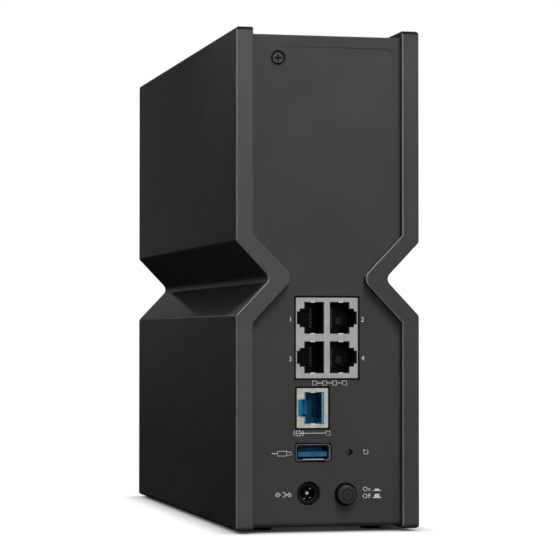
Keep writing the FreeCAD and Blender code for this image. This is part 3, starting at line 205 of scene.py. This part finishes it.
# mottle, grain and line are widths in millimetres, height is the depth of the grain
# a spark-eroded grain is about 0.05 mm wide, too fine to show, so every grain here is drawn five to ten times as coarse
plastics = {
    # ABS moulded against a spark-eroded tool: even matt grain that leaves a sheen only at a grazing angle
    "sparkGrainAbs": {"dark": "#5e5e5f", "pale": "#626263", "mottle": 18.0, "grain": 0.45, "height": 0.01,
                      "strength": 0.05, "smooth": 0.13, "rough": 0.18, "ior": 1.5, "specular": 0.00033,
                      "paintedLightAndGloss": shellPaintedLightAndGlossSet},
    # the same ABS painted a touch deeper for the other shell: painted shade, a shaded copy of one material
    "sparkGrainAbsPaintedShade": {"dark": "#525253", "pale": "#565657", "mottle": 18.0, "grain": 0.45, "height": 0.01,
                          "strength": 0.05, "smooth": 0.13, "rough": 0.18, "ior": 1.5, "specular": 0.00033,
                          "paintedLightAndGloss": shellPaintedLightAndGlossSet},
    # the same ABS from a finer tool: a shade darker where it faces you
    "fineGrainAbs": {"dark": "#4c4c4d", "pale": "#505051", "mottle": 22.0, "grain": 0.35, "height": 0.015,
                     "strength": 0.3, "smooth": 0.45, "rough": 0.58, "ior": 1.5, "specular": 0.02},
    # silicone rubber, pressed: dull and nearly black
    "pressedSilicone": {"dark": "#141414", "pale": "#1b1b1b", "mottle": 3.0, "grain": 0.3, "height": 0.01,
                        "strength": 0.2, "smooth": 0.6, "rough": 0.75, "ior": 1.43, "specular": 0.04},
    # smoked polycarbonate, polished tool: glossy and nearly black
    "smokedPolycarbonate": {"dark": "#2b2d31", "pale": "#303338", "mottle": 8.0, "grain": 2.0, "height": 0.002,
                            "strength": 0.1, "smooth": 0.08, "rough": 0.14, "ior": 1.58},
    # FR4 board under solder mask: bottle green, slightly glossy with a faint weave
    "solderMaskFr4": {"dark": "#0f3a24", "pale": "#15482d", "mottle": 6.0, "grain": 0.6, "height": 0.01,
                      "strength": 0.3, "smooth": 0.25, "rough": 0.4, "ior": 1.52},
    # epoxy moulding compound on chips: grey-black, powdery
    "epoxyCompound": {"dark": "#1a1a1a", "pale": "#222222", "mottle": 2.0, "grain": 0.2, "height": 0.01,
                      "strength": 0.3, "smooth": 0.5, "rough": 0.65, "ior": 1.55},
    # soft gap pad, cast: pale blue-grey, waxy
    "castGapPad": {"dark": "#7f8fa3", "pale": "#8d9cb0", "mottle": 4.0, "grain": 0.5, "height": 0.02,
                   "strength": 0.3, "smooth": 0.5, "rough": 0.7, "ior": 1.41},
    # black glass-filled PBT of the sockets: semi-gloss
    "blackPbt": {"dark": "#202021", "pale": "#262627", "mottle": 2.5, "grain": 0.25, "height": 0.006,
                 "strength": 0.25, "smooth": 0.4, "rough": 0.5, "ior": 1.55, "specular": 0.04},
    # blue PBT of the single network socket: clean signal blue
    "bluePbt": {"dark": "#1c80b0", "pale": "#268cbb", "mottle": 2.5, "grain": 0.25, "height": 0.006,
                "strength": 0.2, "smooth": 0.4, "rough": 0.5, "ior": 1.55, "specular": 0.04},
    # its ramp, painted paler: painted light, a lit copy of the socket's blue
    "bluePbtPaintedLight": {"dark": "#3c9fd2", "pale": "#48abde", "mottle": 2.5, "grain": 0.25, "height": 0.006,
                      "strength": 0.2, "smooth": 0.4, "rough": 0.5, "ior": 1.55, "specular": 0.04},
    # the tongue of the USB socket: a greyer blue
    "greyBluePbt": {"dark": "#2b6c9a", "pale": "#3378a6", "mottle": 2.5, "grain": 0.25, "height": 0.006,
                    "strength": 0.2, "smooth": 0.4, "rough": 0.5, "ior": 1.55, "specular": 0.04},
    # the thin front lip of the network socket: the same resin as its body, drawn paler
    "palePbt": {"dark": "#86a8c4", "pale": "#92b2cc", "mottle": 1.0, "grain": 0.2, "height": 0.004,
                "strength": 0.2, "smooth": 0.4, "rough": 0.5, "ior": 1.55, "specular": 0.04},
    # acetal plungers: dark grey, slippery
    "turnedAcetal": {"dark": "#2a2a2c", "pale": "#323234", "mottle": 2.0, "grain": 0.3, "height": 0.005,
                     "strength": 0.2, "smooth": 0.3, "rough": 0.4, "ior": 1.48},
    # ABS button caps from a satin tool
    "satinAbs": {"dark": "#28282a", "pale": "#2d2d2f", "mottle": 5.0, "grain": 0.3, "height": 0.01,
                 "strength": 0.25, "smooth": 0.3, "rough": 0.38, "ior": 1.5, "specular": 0.18},
    # PVC sleeve of the antenna leads
    "extrudedPvc": {"dark": "#161616", "pale": "#1d1d1d", "mottle": 3.0, "grain": 0.4, "height": 0.01,
                    "strength": 0.2, "smooth": 0.4, "rough": 0.5, "ior": 1.52},
    # pad-printed ink: flat and near-white
    "padPrintInk": {"dark": "#f4f4f4", "pale": "#fbfbfb", "mottle": 1.5, "grain": 0.2, "height": 0.003,
                    "strength": 0.2, "smooth": 0.55, "rough": 0.7, "ior": 1.5},
}
metals = {
    # nickel-plated stamped steel of the network jacks: neutral grey, satin
    "nickelPlatedSteel": {"dark": "#8c8c8b", "pale": "#989897", "mottle": 3.0, "line": 0.3, "height": 0.004,
                          "stretch": (1.0, 1.0, 6.0), "strength": 0.25, "smooth": 0.28, "rough": 0.42},
    # the same plate gone warm on the single jack
    "warmNickelPlate": {"dark": "#989890", "pale": "#aaaba2", "mottle": 2.2, "line": 0.3, "height": 0.004,
                        "stretch": (1.0, 1.0, 6.0), "strength": 0.25, "smooth": 0.28, "rough": 0.42},
    # polished nickel on the little spring tabs: bright glints
    "polishedNickel": {"dark": "#c9cacb", "pale": "#d8d9da", "mottle": 2.0, "line": 0.3, "height": 0.002,
                       "stretch": (5.0, 1.0, 1.0), "strength": 0.2, "smooth": 0.15, "rough": 0.25},
    # tin over phosphor bronze on the contact springs, painted dark grey as shade deep in the sockets, with a warm trace
    "tinnedBronzePaintedShade": {"dark": "#45423d", "pale": "#524e48", "mottle": 1.0, "line": 0.2, "height": 0.002,
                     "stretch": (1.0, 1.0, 1.0), "strength": 0.2, "smooth": 0.3, "rough": 0.4},
    # barrel-plated nickel on the USB tube: dark satin
    "dullNickel": {"dark": "#4e4f51", "pale": "#5c5d5f", "mottle": 2.0, "line": 0.3, "height": 0.002,
                     "stretch": (5.0, 1.0, 1.0), "strength": 0.2, "smooth": 0.18, "rough": 0.3},
    # gold flash on the antenna plugs and board spacers: warm and bright
    "goldFlash": {"dark": "#c79a45", "pale": "#e0b65e", "mottle": 1.0, "line": 0.2, "height": 0.002,
                  "stretch": (1.0, 1.0, 1.0), "strength": 0.2, "smooth": 0.2, "rough": 0.32},
    # black zinc on the rear screw: dark, slightly bright on the edges
    "blackZincSteel": {"dark": "#38383a", "pale": "#424244", "mottle": 1.0, "line": 0.2, "height": 0.004,
                       "stretch": (1.0, 1.0, 1.0), "strength": 0.3, "smooth": 0.3, "rough": 0.45},
    # extruded aluminium heat sink, mill finish: fine lines along the extrusion
    "extrudedAluminium": {"dark": "#b7b9bb", "pale": "#c8cacc", "mottle": 10.0, "line": 0.4, "height": 0.006,
                          "stretch": (8.0, 8.0, 1.0), "strength": 0.4, "smooth": 0.35, "rough": 0.5},
    # spring steel and tinned cans: cool grey
    "tinnedSteel": {"dark": "#a8aaac", "pale": "#bcbec0", "mottle": 4.0, "line": 0.4, "height": 0.003,
                    "stretch": (1.0, 4.0, 1.0), "strength": 0.3, "smooth": 0.3, "rough": 0.45},
}
materials = {name: mouldedPlastic(name, look) for name, look in plastics.items()}
materials.update({name: platedMetal(name, look) for name, look in metals.items()})
print("materials made:", len(materials))


# ---- which finish each piece of the frame gets
finishes = {
    "sparkGrainAbs": ["right_side_shell"],
    "sparkGrainAbsPaintedShade": ["left_side_shell"],
    "fineGrainAbs": ["rear_panel", "front_panel", "top_grille", "bottom_base"],
    "pressedSilicone": ["rubber_feet"],
    "blackZincSteel": ["rear_panel_screw"],
    "smokedPolycarbonate": ["status_light_lens"],
    "solderMaskFr4": ["light_board", "main_board", "switch_board", "side_button_board", "front_antennas",
                      "rear_antennas"],
    "padPrintInk": ["light_leds"],
    "turnedAcetal": ["board_carrier", "power_switch_stem", "reset_button", "front_antenna_bracket",
                     "rear_antenna_bracket"],
    "extrudedAluminium": ["heat_sink", "heat_spreaders", "power_components"],
    "tinnedSteel": ["heat_sink_clips", "radio_shield_cans"],
    "epoxyCompound": ["processor_and_memory", "line_transformers"],
    "castGapPad": ["thermal_pads", "spreader_pads"],
    "nickelPlatedSteel": ["lan_jack_shield", "dc_jack_pin"],
    "warmNickelPlate": ["wan_jack_shield"],
    "blackPbt": ["lan_jack_insert", "dc_jack_body", "power_switch", "reset_switch", "side_switches"],
    "bluePbt": ["wan_jack_insert"],
    "greyBluePbt": ["usb_tongue"],
    "tinnedBronzePaintedShade": ["lan_jack_contacts", "wan_jack_contacts", "usb_contacts"],
    "goldFlash": ["board_spacers", "antenna_plugs"],
    "dullNickel": ["usb_shell"],
    "satinAbs": ["power_button", "pairing_button", "light_button"],
    "extrudedPvc": ["antenna_leads"],
}
# radius in millimetres that each visible piece's edges get
easing = {
    "right_side_shell": 0.3, "left_side_shell": 0.3, "rear_panel": 0.12, "front_panel": 0.12,
    "top_grille": 0.15, "bottom_base": 0.15, "power_button": 0.12, "lan_jack_shield": 0.12,
    "wan_jack_shield": 0.12, "dc_jack_body": 0.12, "rubber_feet": 0.5, "lan_jack_insert": 0.08,
    "wan_jack_insert": 0.08,
}


def easeEdges(piece, width):
    # rolls every sharp edge by a small radius, on top of the frame's own mesh
    weld = piece.modifiers.new("weld", "WELD")
    weld.merge_threshold = 0.000002
    bevel = piece.modifiers.new("bevel", "BEVEL")
    bevel.width = width * mm
    bevel.segments = 2
    bevel.limit_method = "ANGLE"
    bevel.angle_limit = math.radians(33)
    bevel.use_clamp_overlap = True
    for face in piece.data.polygons:
        face.use_smooth = True
    piece.modifiers.new("evenNormals", "WEIGHTED_NORMAL")


for finish, names in finishes.items():
    for name in names:
        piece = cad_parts[name]
        piece.data.materials.clear()
        piece.data.materials.append(materials[finish])
        if name in easing:
            easeEdges(piece, easing[name])
print("frame pieces finished:", sum(len(names) for names in finishes.values()))


# ---- marks and small metal parts that the frame doesn't hold, in the frame's own millimetres
standing = 1.0        # the feet lift everything by this much
rearFace = 112.95     # depths of the panel, the jacks and the power button's cap
jackFace = 112.75
capFace = 115.85


def onRear(depth):
    # sets a flat drawing (x to the viewer's right, y up) on the rear at this depth
    return Matrix(((-mm, 0, 0, 0), (0, 0, mm, depth * mm), (0, mm, 0, standing * mm), (0, 0, 0, 1)))


def ringLine(x, z, radius, start=0, end=360, steps=28):
    spread = [math.radians(start + (end - start) * i / steps) for i in range(steps + 1)]
    return [(x + radius * math.cos(a), z + radius * math.sin(a)) for a in spread]


def boxLine(x0, x1, z0, z1):
    return [(x0, z0), (x1, z0), (x1, z1), (x0, z1), (x0, z0)]


def drawLines(name, lines, depth, width, finish, body, filled=False):
    # strokes of this width, or filled outlines of this thickness; x grows to the viewer's left
    curve = bpy.data.curves.new(name, "CURVE")
    curve.dimensions = "2D" if filled else "3D"
    if filled:
        curve.fill_mode = "BOTH"
        curve.extrude = width
    else:
        curve.bevel_depth = width / 2
        curve.bevel_resolution = 2
    for line in lines:
        closed = line[0] == line[-1]
        points = line[:-1] if closed else line
        spline = curve.splines.new("POLY")
        spline.points.add(len(points) - 1)
        for point, (x, z) in zip(spline.points, points):
            point.co = (-x, z, 0.0, 1.0)
        spline.use_cyclic_u = closed or filled
    curve.materials.append(materials[finish])
    drawn = bpy.data.objects.new(name, curve)
    scene.collection.objects.link(drawn)
    drawn.matrix_world = onRear(depth)
    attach(drawn, body)


def writeWord(name, text, x, z, height):
    # a word this many millimetres high, centred on x and z
    font = bpy.data.curves.new(name, "FONT")
    font.body = text
    font.extrude = inkThick
    holder = bpy.data.objects.new(name + "Font", font)
    scene.collection.objects.link(holder)
    bpy.context.view_layer.update()
    mesh = bpy.data.meshes.new_from_object(holder.evaluated_get(bpy.context.evaluated_depsgraph_get()))
    bpy.data.objects.remove(holder)
    low = [min(v.co[i] for v in mesh.vertices) for i in (0, 1)]
    high = [max(v.co[i] for v in mesh.vertices) for i in (0, 1)]
    size = height / (high[1] - low[1])
    mesh.transform(Matrix.Diagonal((size, size, 1.0, 1.0))
                   @ Matrix.Translation((-(low[0] + high[0]) / 2, -(low[1] + high[1]) / 2, 0)))
    mesh.transform(onRear(rearFace + inkLift) @ Matrix.Translation((-x, z, 0)))
    mesh.materials.clear()
    mesh.materials.append(materials["padPrintInk"])
    word = bpy.data.objects.new(name, mesh)
    scene.collection.objects.link(word)
    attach(word, "housing")


def bentStrips(name, boxes, finish, ease):
    # small stamped and moulded parts of the housing: each box is (x0, x1, y0, y1, z0, z1), with rolled edges
    work = bmesh.new()
    for x0, x1, y0, y1, z0, z1 in boxes:
        corners = [work.verts.new((x * mm, y * mm, (z + standing) * mm))
                   for x in (x0, x1) for y in (y0, y1) for z in (z0, z1)]
        for a, b, c, d in ((0, 1, 3, 2), (4, 6, 7, 5), (0, 4, 5, 1), (2, 3, 7, 6), (0, 2, 6, 4), (1, 5, 7, 3)):
            work.faces.new((corners[a], corners[b], corners[c], corners[d]))
    bmesh.ops.bevel(work, geom=work.edges[:], offset=ease * mm, segments=2, affect="EDGES")
    mesh = bpy.data.meshes.new(name)
    work.to_mesh(mesh)
    work.free()
    mesh.materials.append(materials[finish])
    strips = bpy.data.objects.new(name, mesh)
    scene.collection.objects.link(strips)
    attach(strips, "housing")


strokeWidth = 0.26
inkThick = 0.004
inkLift = 0.006       # filled print and words stand this far off the panel
# piece: what it says, centre x and z, height
words = {
    "portNumber1": ("1", 15.0, 84.7, 1.9), "portNumber2": ("2", -14.95, 84.7, 1.9),
    "portNumber3": ("3", 15.1, 68.8, 1.9), "portNumber4": ("4", -15.1, 69.0, 1.9),
    "wordOn": ("On", -16.6, 16.1, 1.75), "wordOff": ("Off", -16.7, 13.3, 1.8),
}
for name, (said, x, z, height) in words.items():
    writeWord(name, said, x, z, height)

symbols = {
    # four boxes on one line: the local network
    "localNetworkSymbol": [boxLine(x - 0.85, x + 0.85, 58.15, 59.85) for x in (5.0, 0.85, -3.3, -7.45)]
                          + [[(x - 0.85, 59.0), (x - 3.3, 59.0)] for x in (5.0, 0.85, -3.3)],
    # a globe on a line to one box: the network outside
    "wideNetworkSymbol": [ringLine(11.7, 38.8, 1.1), ringLine(10.95, 38.8, 1.33, 125, 235, 10),
                          ringLine(12.45, 38.8, 1.33, -55, 55, 10), [(12.8, 38.8), (0.3, 38.8)],
                          boxLine(-1.4, 0.3, 37.95, 39.65)],
    # a plug and its lead
    "plugSymbol": [boxLine(16.6, 20.4, 29.8, 31.7), boxLine(14.6, 16.6, 30.15, 31.35),
                   [(20.4, 30.75), (22.8, 30.75)]],
    # an arrow that goes round
    "resetSymbol": [ringLine(-16.3, 31.1, 0.95, 100, 400), [(-15.15, 32.35), (-15.5, 31.6), (-16.4, 31.75)]],
    # direct current, positive in the middle
    "polaritySymbol": [ringLine(20.3, 14.2, 0.75), [(19.95, 14.2), (20.65, 14.2)], [(19.55, 14.2), (18.75, 14.2)],
                       ringLine(17.85, 14.2, 0.9, 60, 300), [(17.85, 14.2), (16.15, 14.2)],
                       ringLine(15.4, 14.2, 0.75), [(15.05, 14.2), (15.75, 14.2)], [(15.4, 13.85), (15.4, 14.55)]],
}
for name, lines in symbols.items():
    drawLines(name, lines, rearFace, strokeWidth, "padPrintInk", "housing")
# the button drawn in and out, beside the two words
drawLines("buttonStateSymbols", [
    [(-19.1, 15.55), (-19.9, 15.55), (-20.1, 16.2), (-21.8, 16.2), (-22.0, 15.55), (-22.8, 15.55), (-22.8, 15.25),
     (-19.1, 15.25), (-19.1, 15.55)],
    [(-19.1, 12.75), (-19.8, 12.75), (-20.0, 14.1), (-21.9, 14.1), (-22.1, 12.75), (-22.8, 12.75), (-22.8, 12.4),
     (-19.1, 12.4), (-19.1, 12.75)],
], rearFace + inkLift, inkThick, "padPrintInk", "housing", filled=True)

# a ring and a bar let into the power button's cap
capMark = {"x": -7.9, "z": 14.1, "radius": 2.3, "bar": 0.9, "width": 0.36, "sunk": 0.1}
drawLines("capSymbol", [ringLine(capMark["x"], capMark["z"], capMark["radius"]),
                        [(capMark["x"], capMark["z"] - capMark["bar"]), (capMark["x"], capMark["z"] + capMark["bar"])]],
          capFace - capMark["sunk"], capMark["width"], "pressedSilicone", "power_press")
print("marks drawn")

# one plug opening each: contact wall, side of the latch, middle height
openings = [(1.35, 1, 85.3), (-1.65, -1, 85.3), (1.35, 1, 69.4), (-1.65, -1, 69.4), (1.35, 1, 48.95)]
# from and to are measured from the contact wall, deep from the jack's face, edge and rows from the middle
earthTab = {"from": 3.3, "to": 5.35, "edge": 6.2, "thick": 0.42, "deep": 1.6, "proud": 0.04}
tabSlit = {"wide": 0.3, "deep": 0.3, "proud": 0.015, "past": 0.12}
contact = {"count": 8, "pitch": 1.02, "half": 0.15, "from": 2.1, "to": 3.4, "deep": 10.9, "thick": 0.4}
contactComb = {"from": -0.02, "to": 0.3, "deep": 4.9, "thick": 0.4}
wireGuide = {"blocks": [(4.75, 7.1, -2.5, 0.2), (6.85, 7.1, -3.9, -2.5)], "deep": 10.95, "thick": 0.65}
tabs, slitShades, ends, guides = [], [], [], []
for wall, side, middle in openings:
    x0, x1 = sorted((wall + side * earthTab["from"], wall + side * earthTab["to"]))
    for up in (1, -1):
        z0, z1 = sorted((middle + up * earthTab["edge"], middle + up * (earthTab["edge"] + earthTab["thick"])))
        tabs.append((x0, x1, jackFace - earthTab["deep"], jackFace + earthTab["proud"], z0, z1))
        # black boxes in the slits beside each tab: painted shade of the open slits
        for x in (x0 - tabSlit["wide"], x1):
            slitShades.append((x, x + tabSlit["wide"], jackFace - tabSlit["deep"], jackFace + tabSlit["proud"],
                          z0, z1 + tabSlit["past"]))
    for i in range(contact["count"]):
        z = middle + (i - (contact["count"] - 1) / 2) * contact["pitch"]
        low, high = z - contact["half"], z + contact["half"]
        x0, x1 = sorted((wall + side * contact["from"], wall + side * contact["to"]))
        ends.append((x0, x1, jackFace - contact["deep"], jackFace - contact["deep"] + contact["thick"], low, high))
        if side > 0:
            ends.append((wall + contactComb["from"], wall + contactComb["to"], jackFace - contactComb["deep"],
                         jackFace - contactComb["deep"] + contactComb["thick"], low, high))
    if side < 0:
        for near, far, low, high in wireGuide["blocks"]:
            guides.append((wall - far, wall - near, jackFace - wireGuide["deep"],
                           jackFace - wireGuide["deep"] + wireGuide["thick"], middle + low, middle + high))

# near-black strips that fill the gap between each jack and the panel, and a thin lip of them on the panel: painted
# shade of the gap
jackSides = {"lan": (-13.0, 12.7, 60.975, 93.425), "wan": (-0.6, 12.35, 40.975, 56.925)}
gapShadeRings = {"inGap": (0.03, 0.45, 111.8, 112.6), "onPanel": (0.5, 0.78, 112.94, 112.98)}
gapShadeBoxes = []
for x0, x1, z0, z1 in jackSides.values():
    for near, far, back, front in gapShadeRings.values():
        for a, b in ((x0 - far, x0 - near), (x1 + near, x1 + far)):
            gapShadeBoxes.append((a, b, back, front, z0 - far, z1 + far))
        for a, b in ((z0 - far, z0 - near), (z1 + near, z1 + far)):
            gapShadeBoxes.append((x0 - near, x1 + near, back, front, a, b))

# piece: its boxes, finish and edge radius
smallParts = {
    "wireGuides": (guides, "fineGrainAbs", 0.05),
    "earthTabs": (tabs, "polishedNickel", 0.08),
    # painted shade in the slits beside the earth tabs
    "earthTabSlitShade": (slitShades, "blackPbt", 0.03),
    "contactEnds": (ends, "tinnedBronzePaintedShade", 0.05),
    # painted shade in the gaps round the jacks
    "jackGapShade": (gapShadeBoxes, "pressedSilicone", 0.015),
    "usbLip": ([(1.1, 10.05, 112.07, 112.7, 28.05, 28.5)], "nickelPlatedSteel", 0.08),
    # a dark plate on the inside wall of the USB tube: painted shade on that wall
    "usbWallShade": ([(-0.615, -0.565, 99.0, 112.0, 28.65, 33.45), (-1.04, -0.58, 112.0, 112.5, 28.7, 33.4)],
                        "blackPbt", 0.01),
    # the ramp deep in the blue socket that ends under the latch, in the paler blue of painted light
    "latchRamp": ([(5.5, 8.1, 101.8, 102.3, 46.2, 51.8)], "bluePbtPaintedLight", 0.1),
    # the blue socket's lip, which folds over its shield round the latch and along the contact wall
    "socketLipPlate": ([(10.3, 11.8, 112.3, 112.78, 45.6, 52.3)], "bluePbt", 0.05),
    "socketLip": ([(8.8, 9.15, 112.3, 112.8, 52.4, 55.0), (8.8, 9.15, 112.3, 112.8, 42.9, 45.5),
                   (8.8, 12.1, 112.3, 112.8, 52.3, 52.65), (8.8, 12.1, 112.3, 112.8, 45.25, 45.6),
                   (11.75, 12.1, 112.3, 112.8, 45.5, 52.4), (1.4, 1.95, 111.6, 112.7, 42.85, 55.05)],
                  "palePbt", 0.06),
    # glints of the leaf springs inside the power socket
    "socketLeaves": ([(8.5, 9.0, 107.0, 110.2, 12.2, 12.5), (6.2, 6.6, 107.5, 110.0, 12.6, 12.9),
                      (6.0, 6.35, 107.5, 110.0, 16.2, 16.6)], "tinnedSteel", 0.08),
    # the shade at the foot of the screw's cross
    "crossShade": ([(18.62, 21.58, 111.95, 112.0, 189.72, 190.48),
                    (19.72, 20.48, 111.96, 112.01, 188.62, 191.58)], "blackPbt", 0.01),
}
for name, (boxes, finish, ease) in smallParts.items():
    bentStrips(name, boxes, finish, ease)
print("small parts made:", len(smallParts))


# ---- studio: pale floor, soft lamps, plain world
lamps = {
    # soft disc close above the rear, so that the light falls off down the back
    "keyDisc": {"place": (-0.1, 0.5, 0.75), "aim": (0, 0.115, 0.12), "size": 0.35, "power": 3.6},
    # wider one further back and low, which fills the openings and just touches the flank
    "fillDisc": {"place": (0.3, 1.6, 0.3), "aim": (0, 0.115, 0.12), "size": 0.5, "power": 3.6},
    # two that even out the right rim and lift the flank a little
    "sideDisc": {"place": (-0.35, 0.9, 0.6), "aim": (0, 0.115, 0.12), "size": 0.5, "power": 1.2},
    "flankDisc": {"place": (0.3, 0.55, 0.5), "aim": (0, 0.115, 0.12), "size": 0.25, "power": 0.14},
    # a hooded one that picks out the top of the rear corner
    "cornerDisc": {"place": (0.45, 0.32, 0.44), "aim": (0.035, 0.105, 0.225), "size": 0.1, "power": 0.005,
                   "spread": 13},
    # the front and the other flank get their own
    "frontDisc": {"place": (-0.9, -1.1, 0.8), "aim": (0, 0, 0.12), "size": 0.6, "power": 8.0},
}
# what the room gives dull surfaces, what the lens sees, and the floor, with its close shadow in millimetres
roomSet = {"diffuse": 0.05, "white": 1.0, "floorGlow": 1.0, "floorPaint": "#404040", "floorReach": 12.0,
           "shadowReach": 11.0}


def makeLamps(values):
    for name, lamp in values.items():
        light = bpy.data.lights.new(name, "AREA")
        light.shape = "DISK"
        light.size = lamp["size"]
        light.energy = lamp["power"]
        light.spread = math.radians(lamp.get("spread", 180))
        holder = bpy.data.objects.new(name, light)
        holder.location = lamp["place"]
        aim = Vector(lamp["aim"]) - Vector(lamp["place"])
        holder.rotation_mode = "QUATERNION"
        holder.rotation_quaternion = aim.to_track_quat("-Z", "Y")
        scene.collection.objects.link(holder)


def whiteForLens(tree, plain, white):
    # the camera, and metal and glass with it, see the white one
    seen = addNode(tree, "ShaderNodeLightPath")
    direct = addNode(tree, "ShaderNodeMath", {0: (seen, "Is Camera Ray"), 1: (seen, "Is Glossy Ray")},
                     operation="MAXIMUM")
    either = addNode(tree, "ShaderNodeMath", {0: (direct, "Value"), 1: (seen, "Is Transmission Ray")},
                     operation="MAXIMUM")
    return addNode(tree, "ShaderNodeMixShader", {0: (either, "Value"), 1: plain, 2: white})


def makeWorld(values):
    world = bpy.data.worlds.new("studio")
    scene.world = world
    world.use_nodes = True
    tree = world.node_tree
    tree.nodes.clear()
    output = addNode(tree, "ShaderNodeOutputWorld")
    room = addNode(tree, "ShaderNodeBackground", {"Color": (1, 1, 1, 1), "Strength": values["diffuse"]})
    white = addNode(tree, "ShaderNodeBackground", {"Color": (1, 1, 1, 1), "Strength": values["white"]})
    mix = whiteForLens(tree, (room, "Background"), (white, "Background"))
    tree.links.new(mix.outputs["Shader"], output.inputs["Surface"])


def makeFloor(values):
    mesh = bpy.data.meshes.new("floor")
    reach = values["floorReach"]      # metres
    mesh.from_pydata([(-reach, -reach, 0), (reach, -reach, 0), (reach, reach, 0), (-reach, reach, 0)], [],
                     [(0, 1, 2, 3)])
    floor = bpy.data.objects.new("floor", mesh)
    scene.collection.objects.link(floor)
    material, tree, output, _ = startMaterial("paintedFloor")
    paint = addNode(tree, "ShaderNodeBsdfDiffuse", {"Color": linearColour(values["floorPaint"])})
    # the lens sees white paper, darker only in the close shadow of whatever stands on it
    close = addNode(tree, "ShaderNodeAmbientOcclusion", {"Distance": values["shadowReach"] * mm}, samples=8)
    glow = addNode(tree, "ShaderNodeEmission", {"Color": (close, "Color"), "Strength": values["floorGlow"]})
    both = addNode(tree, "ShaderNodeAddShader", {0: (paint, "BSDF"), 1: (glow, "Emission")})
    mix = whiteForLens(tree, (paint, "BSDF"), (both, "Shader"))
    tree.links.new(mix.outputs["Shader"], output.inputs["Surface"])
    mesh.materials.append(material)


makeLamps(lamps)
makeWorld(roomSet)
makeFloor(roomSet)
scene.view_settings.view_transform = "Standard"
print("studio built")
